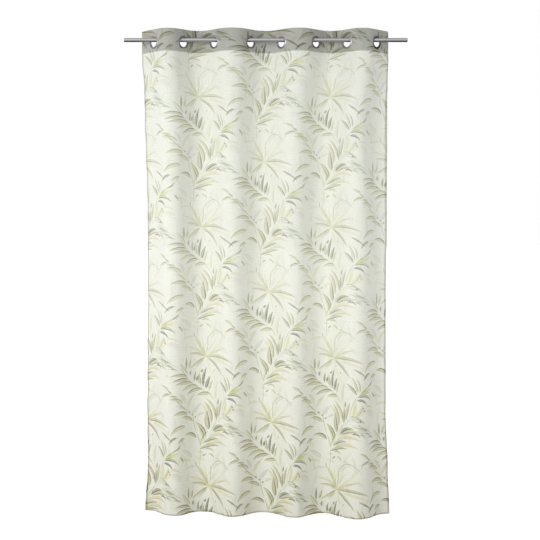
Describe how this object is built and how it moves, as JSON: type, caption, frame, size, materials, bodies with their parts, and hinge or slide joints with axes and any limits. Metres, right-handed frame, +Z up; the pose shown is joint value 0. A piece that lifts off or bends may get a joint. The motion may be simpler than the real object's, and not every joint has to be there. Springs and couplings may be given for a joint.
{
  "type": "eyelet sheer curtain on its curtain rod",
  "caption": "Sheer panel with a printed leaf pattern, hanging in soft waves by metal eyelets in a stiffened heading on a plain rod.",
  "frame": {"origin": "the middle of the curtain rod's axis", "axes": "+X along the rod to the right as seen from the room, +Y from the room towards the window behind the curtain, +Z up"},
  "size_m": [1.4, 0.1312, 2.4094],
  "materials": {
    "sheer_cloth": "sheer woven polyester, cream with a pale green cast, printed with palm and leaf sprays in olive, tan and yellow green",
    "heading_cloth": "the same printed sheer folded double over a grey stiffener, so it looks denser and greyer",
    "eyelet_metal": "satin nickel look, softly rounded",
    "rod_metal": "brushed grey metal"
  },
  "bodies": {
    "root": {"cloth_panel": "sheer_cloth", "eyelet_heading": "heading_cloth", "curtain_rod": "rod_metal", "eyelet_ring_1": "eyelet_metal", "eyelet_ring_2": "eyelet_metal", "eyelet_ring_3": "eyelet_metal", "eyelet_ring_4": "eyelet_metal", "eyelet_ring_5": "eyelet_metal", "eyelet_ring_6": "eyelet_metal", "eyelet_ring_7": "eyelet_metal", "eyelet_ring_8": "eyelet_metal"}
  },
  "joints": []
}
